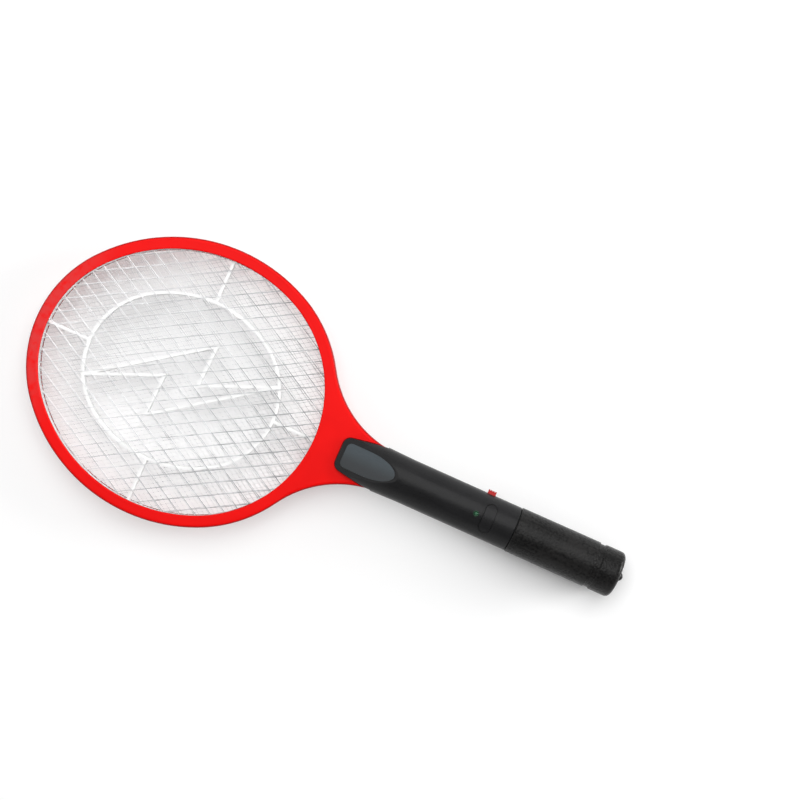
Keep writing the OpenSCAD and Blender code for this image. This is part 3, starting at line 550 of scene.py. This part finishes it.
def bare_wire(number, shifts, side, net, weave):
    """One wire of a net, about the net's middle, passing over and under those that cross it."""
    pitch = net["pitch"]
    angle = side * net["angle"]
    offset = (number + shifts[side]) * pitch
    span = wire_span(offset, angle)
    if span is None or span[1] - span[0] < pitch:
        return None
    along = Vector((math.cos(angle), math.sin(angle), 0.0))
    across = Vector((-math.sin(angle), math.cos(angle), 0.0))
    other_across = Vector((math.sin(angle), math.cos(angle), 0.0))
    crossing = pitch / math.sin(2 * net["angle"])
    steps = math.ceil(STEPS_PER_CROSSING * (span[1] - span[0]) / crossing) if weave else 1
    middle = across * offset
    wire = rod(middle + along * span[0], middle + along * span[1], net["radius"], WIRE_SIDES, steps)
    for vert in wire.verts:
        reach = vert.co.dot(along)
        fade = within_one(min(reach - span[0], span[1] - reach) / END_FLAT)
        turn = vert.co.dot(other_across) / pitch - shifts[-side] + number
        vert.co.z += side * weave * fade * math.cos(math.pi * turn)
    return wire


def make_net(name, node, net, level, weave, shifts, tab_side):
    """A net at its level, with the tab that its lead or strap is joined to."""
    count = math.ceil(NET_HALF_L / net["pitch"])
    wires = [bare_wire(number, shifts, side, net, weave)
             for number in range(-count, count + 1) for side in (1, -1)]
    whole = join([wire for wire in wires if wire])
    bmesh.ops.translate(whole, vec=(HEAD_X, 0.0, level), verts=whole.verts)
    place = Matrix.Translation(((TAB_START + TAB_END) / 2, tab_side * TAB_Y, level))
    bmesh.ops.create_cube(whole, size=1.0, matrix=place @ Matrix.Diagonal(
        (TAB_END - TAB_START, TAB_WIDTH, TAB_THICK, 1.0)))
    finished_piece(name, whole, "grid_wire", "swatter", node)


make_net("front_net", "front_grid", OUTER_NET, AXIS_Z + OUTER_LEVEL, OUTER_WEAVE, MIDDLED, -1)
make_net("middle_net", "middle_grid", MIDDLE_NET, AXIS_Z, NO_WEAVE, MIDDLED, 1)
make_net("back_net", "back_grid", OUTER_NET, AXIS_Z - OUTER_LEVEL, OUTER_WEAVE, BEHIND, -1)

# Insulated leads: from the nets through the neck to the board, and from the board to the tray
LEAD_R = 0.7 * MM
LEAD_SIDES = 16
LEAD_STEPS = 48
LEAD_BEND = 0.35 * MM
LEAD_WAVE = 9 * MM
RED_START_X = -7.9 * MM
BLACK_START_X = -7.8 * MM
LEAD_DROP_X = 68.0 * MM
LEAD_END_X = 77.8 * MM
LEAD_LEVEL = AXIS_Z + 1.1 * MM
BOARD_LEVEL = AXIS_Z + 0.7 * MM
BOARD_END_X = 141.4 * MM
TRAY_START_X = 149.0 * MM
BATTERY_LEAD_STEPS = 8


def lead(side, start_x):
    """A lead that waves a little in its channel and drops onto the board."""
    y = side * TAB_Y
    bm = rod(Vector((start_x, y, LEAD_LEVEL)), Vector((LEAD_END_X, y, LEAD_LEVEL)),
             LEAD_R, LEAD_SIDES, LEAD_STEPS)
    for vert in bm.verts:
        drop = within_one((vert.co.x - LEAD_DROP_X) / (LEAD_END_X - LEAD_DROP_X))
        vert.co.z -= (LEAD_LEVEL - BOARD_LEVEL) * drop * drop * (3 - 2 * drop)
        vert.co.y += LEAD_BEND * math.sin((vert.co.x - start_x) / LEAD_WAVE)
    return bm


def battery_lead(side):
    start = Vector((BOARD_END_X, side * CELL_Y, BOARD_LEVEL))
    end = Vector((TRAY_START_X, side * CELL_Y, BOARD_LEVEL))
    return rod(start, end, LEAD_R, LEAD_SIDES, BATTERY_LEAD_STEPS)


# Battery springs: cone-shaped coils on a flat end turn
SPRING_R = 0.35 * MM
SPRING_WIDE = 5.22 * MM
SPRING_NARROW = 3.05 * MM
SPRING_TURNS = 4
SPRING_STEPS = 28
SPRING_SIDES = 10
SPRING_LENGTH = 6.0 * MM
SPRING_AXIS = (1.0, 0.0, 0.0)
REAR_PLATE_X = 221.3 * MM
FRONT_PLATE_X = 164.8 * MM


def spring(plate_x, side, way):
    """A coil from its plate toward the cell: wide at the plate and narrow at the cell."""
    start = Vector((plate_x + way * SPRING_R, side * CELL_Y, AXIS_Z))
    rise = way * (SPRING_LENGTH - 2 * SPRING_R)
    ring = Matrix.Translation(start + Vector((0.0, SPRING_WIDE, 0.0)))
    steps = SPRING_TURNS * SPRING_STEPS
    coil = swept(
        ring, SPRING_R, SPRING_SIDES, cent=start, axis=SPRING_AXIS, angle=FULL_TURN * SPRING_TURNS,
        steps=steps, dvec=(rise / steps, 0.0, 0.0))
    close_ends(coil, SPRING_SIDES)
    for vert in coil.verts:
        arm = Vector((0.0, vert.co.y - start.y, vert.co.z - start.z))
        share = within_one((vert.co.x - start.x) / rise)
        vert.co -= arm.normalized() * (SPRING_WIDE - SPRING_NARROW) * share
    base = swept(
        ring, SPRING_R, SPRING_SIDES, cent=start, axis=SPRING_AXIS, angle=FULL_TURN,
        steps=SPRING_STEPS, use_merge=True)
    return join([coil, base])


cell_leads = join([battery_lead(1), battery_lead(-1)])
coil_springs = join([spring(REAR_PLATE_X, 1, -1), spring(FRONT_PLATE_X, -1, 1)])
finished_piece("grid_lead_red", lead(1, RED_START_X), "lead_red", "swatter", "high_voltage_lead")
finished_piece("grid_lead_black", lead(-1, BLACK_START_X), "lead_black", "swatter", "ground_lead")
finished_piece("cell_leads", cell_leads, "lead_red", "swatter", "battery_leads")
finished_piece("coil_springs", coil_springs, "contact_metal", "swatter", "battery_springs")

# The lamp's rim: a rounded collar of the same tinted epoxy, on the handle's top line
COLLAR_LEVEL = AXIS_Z + 17.5 * MM
COLLAR_REACH = 1.85 * MM
COLLAR_R = 0.45 * MM
COLLAR_SIDES = 16
COLLAR_STEPS = 40


def lamp_collar():
    middle = Vector((LAMP_X, 0.0, COLLAR_LEVEL))
    edge = Matrix.Translation(middle + Vector((COLLAR_REACH, 0.0, 0.0)))
    upright = edge @ Matrix.Rotation(math.pi / 2, 4, "X")
    return swept(
        upright, COLLAR_R, COLLAR_SIDES, cent=middle, axis=(0.0, 0.0, 1.0), angle=FULL_TURN,
        steps=COLLAR_STEPS, use_merge=True)


finished_piece("lamp_collar", lamp_collar(), "led_green", "swatter")

# Floor: its size, and the painted light that sets the paleness of its shadows by the head and by the tail
FLOOR_SIDE = 8.0
FLOOR_GAP = 0.1 * MM
FLOOR_NEAR = 0.4
FLOOR_FAR = 1.0
FLOOR_LIGHT = 1.10
FLOOR_WHITE = 1.035
SOFT_PALE = 0.58
FIRM_PALE = 0.95
SOFT_X = 60 * MM
FIRM_X = 185 * MM

# Under the nets the floor carries painted light and painted shade, which reach a little past their oval
NET_INSIDE = 0.90
NET_OUTSIDE = 1.06
NET_PALE = 0.85
NET_GLOW = 0.315
NET_GLOW_FAR = 0.175
GLOW_FROM = -110 * MM
GLOW_TO = -15 * MM
GLOW_SLANT = 0.2
NET_SHADE = 0.12
SHADE_FROM = -50 * MM
SHADE_TO = 60 * MM


def make_floor():
    """A pale sheet under the whole length. Painted light makes its shadows soft by the head and firm by
    the tail, and brightens it under the nets.
    """
    finish = Finish("floor_white", Roughness=0.9, Specular_IOR_Level=0.0)
    from_head = finish.node("ShaderNodeMapping", {"vector_type": "TEXTURE"}, {
        "Vector": finish.here(), "Location": (HEAD_X, 0.0, 0.0), "Scale": (NET_HALF_L, NET_HALF_W, 1.0)})
    reach = finish.node("ShaderNodeVectorMath", {"operation": "LENGTH"}, {0: from_head}, "Value")
    outside = finish.ramp(reach, NET_INSIDE, NET_OUTSIDE)
    spread = finish.node("ShaderNodeVectorMath", {"operation": "LENGTH"}, {0: finish.here()}, "Value")
    near = finish.ramp(spread, FLOOR_NEAR, FLOOR_FAR, 1.0, 0.0)
    pale = near * finish.ramp(finish.axis("X"), SOFT_X, FIRM_X, SOFT_PALE, FIRM_PALE)
    seen_pale = outside * pale + (1 - outside) * NET_PALE
    # Under the nets: painted light, stronger nearer the handle, and less toward the +Y side as painted
    # shade.
    nearer = toward_handle(finish, GLOW_FROM, GLOW_TO, GLOW_SLANT)
    shade = finish.ramp(finish.axis("Y"), SHADE_FROM, SHADE_TO, 0.0, NET_SHADE)
    glow = nearer * (NET_GLOW - NET_GLOW_FAR) + NET_GLOW_FAR - shade
    # Outside the nets, painted light keeps the lit floor white and fills its shadows, the more where the
    # floor is less pale.
    seen_glow = outside * (FLOOR_WHITE - pale * FLOOR_LIGHT) + (1 - outside) * glow
    finish.set(Base_Color=finish.mix(seen_pale, BLACK, WHITE))
    finish.set(Emission_Color=finish.mix(seen_glow, BLACK, WHITE))
    seen = finish.node("ShaderNodeLightPath", output="Is Camera Ray")
    mirrored = finish.node("ShaderNodeLightPath", output="Is Glossy Ray")
    through = finish.node("ShaderNodeLightPath", output="Is Transmission Ray")
    finish.set(Emission_Strength=seen + mirrored + through)
    bm = bmesh.new()
    bmesh.ops.create_grid(bm, x_segments=1, y_segments=1, size=FLOOR_SIDE / 2)
    bmesh.ops.translate(bm, vec=(0.0, 0.0, cad_box[0].z - FLOOR_GAP), verts=bm.verts)
    floor = mesh_object("floor", bm, finish)


make_floor()

# Camera: straight above the front face, turned so that the handle runs down to the right
CAMERA_TURN = math.radians(24.15)
CAMERA_SPOT = Vector((34.1 * MM, 55.0 * MM, 0.0))
CAMERA_HEIGHT = 1.26
CAMERA_PLANE = AXIS_Z + 5 * MM
PIXELS_PER_METRE = 1305
PHOTO_SIDE = 800
SENSOR = 36.0
CLIP_NEAR = 0.01
CLIP_FAR = 50.0


def make_camera():
    data = bpy.data.cameras.new("camera")
    data.sensor_width = SENSOR
    data.lens = SENSOR * PIXELS_PER_METRE * CAMERA_HEIGHT / PHOTO_SIDE
    data.clip_start = CLIP_NEAR
    data.clip_end = CLIP_FAR
    camera = placed("camera", data)
    camera.location = CAMERA_SPOT + Vector((0.0, 0.0, CAMERA_PLANE + CAMERA_HEIGHT))
    camera.rotation_euler = (0.0, 0.0, CAMERA_TURN)
    bpy.context.scene.camera = camera


make_camera()


def make_lamp(name, place, aim, side, watts):
    """A square lamp at a place, turned to what it lights."""
    data = bpy.data.lights.new(name, "AREA")
    data.shape = "SQUARE"
    data.size = side
    data.energy = watts
    lamp = placed(name, data)
    lamp.location = place
    lamp.rotation_euler = (Vector(aim) - Vector(place)).to_track_quat("-Z", "Y").to_euler()


make_lamp("key", (-0.30, 1.10, 2.45), (0.0, 0.0, 0.0), 2.6, 67.0)
make_lamp("side", (2.25, 1.30, 0.55), (HEAD_X, 0.0, 0.0), 1.0, 55.0)
make_lamp("fill", (-1.60, -1.10, 2.00), (0.0, 0.0, 0.0), 1.8, 8.0)

# Studio: white walls round the horizon and a dark ceiling
WALL_TOP = 0.24
CEILING = 0.64
CEILING_TONE = 0.12


def make_studio():
    world = bpy.data.worlds.new("studio")
    world.use_nodes = True
    walls = Nodes(world.node_tree)
    way = walls.node("ShaderNodeTexCoord", output="Generated")
    height = walls.node("ShaderNodeSeparateXYZ", None, {0: way}, "Z")
    backdrop = world.node_tree.nodes["Background"]
    walls.put(backdrop.inputs["Color"], WHITE)
    walls.put(backdrop.inputs["Strength"], walls.ramp(height, WALL_TOP, CEILING, 1.0, CEILING_TONE))
    bpy.context.scene.world = world


make_studio()

bpy.context.scene.view_settings.view_transform = "Standard"
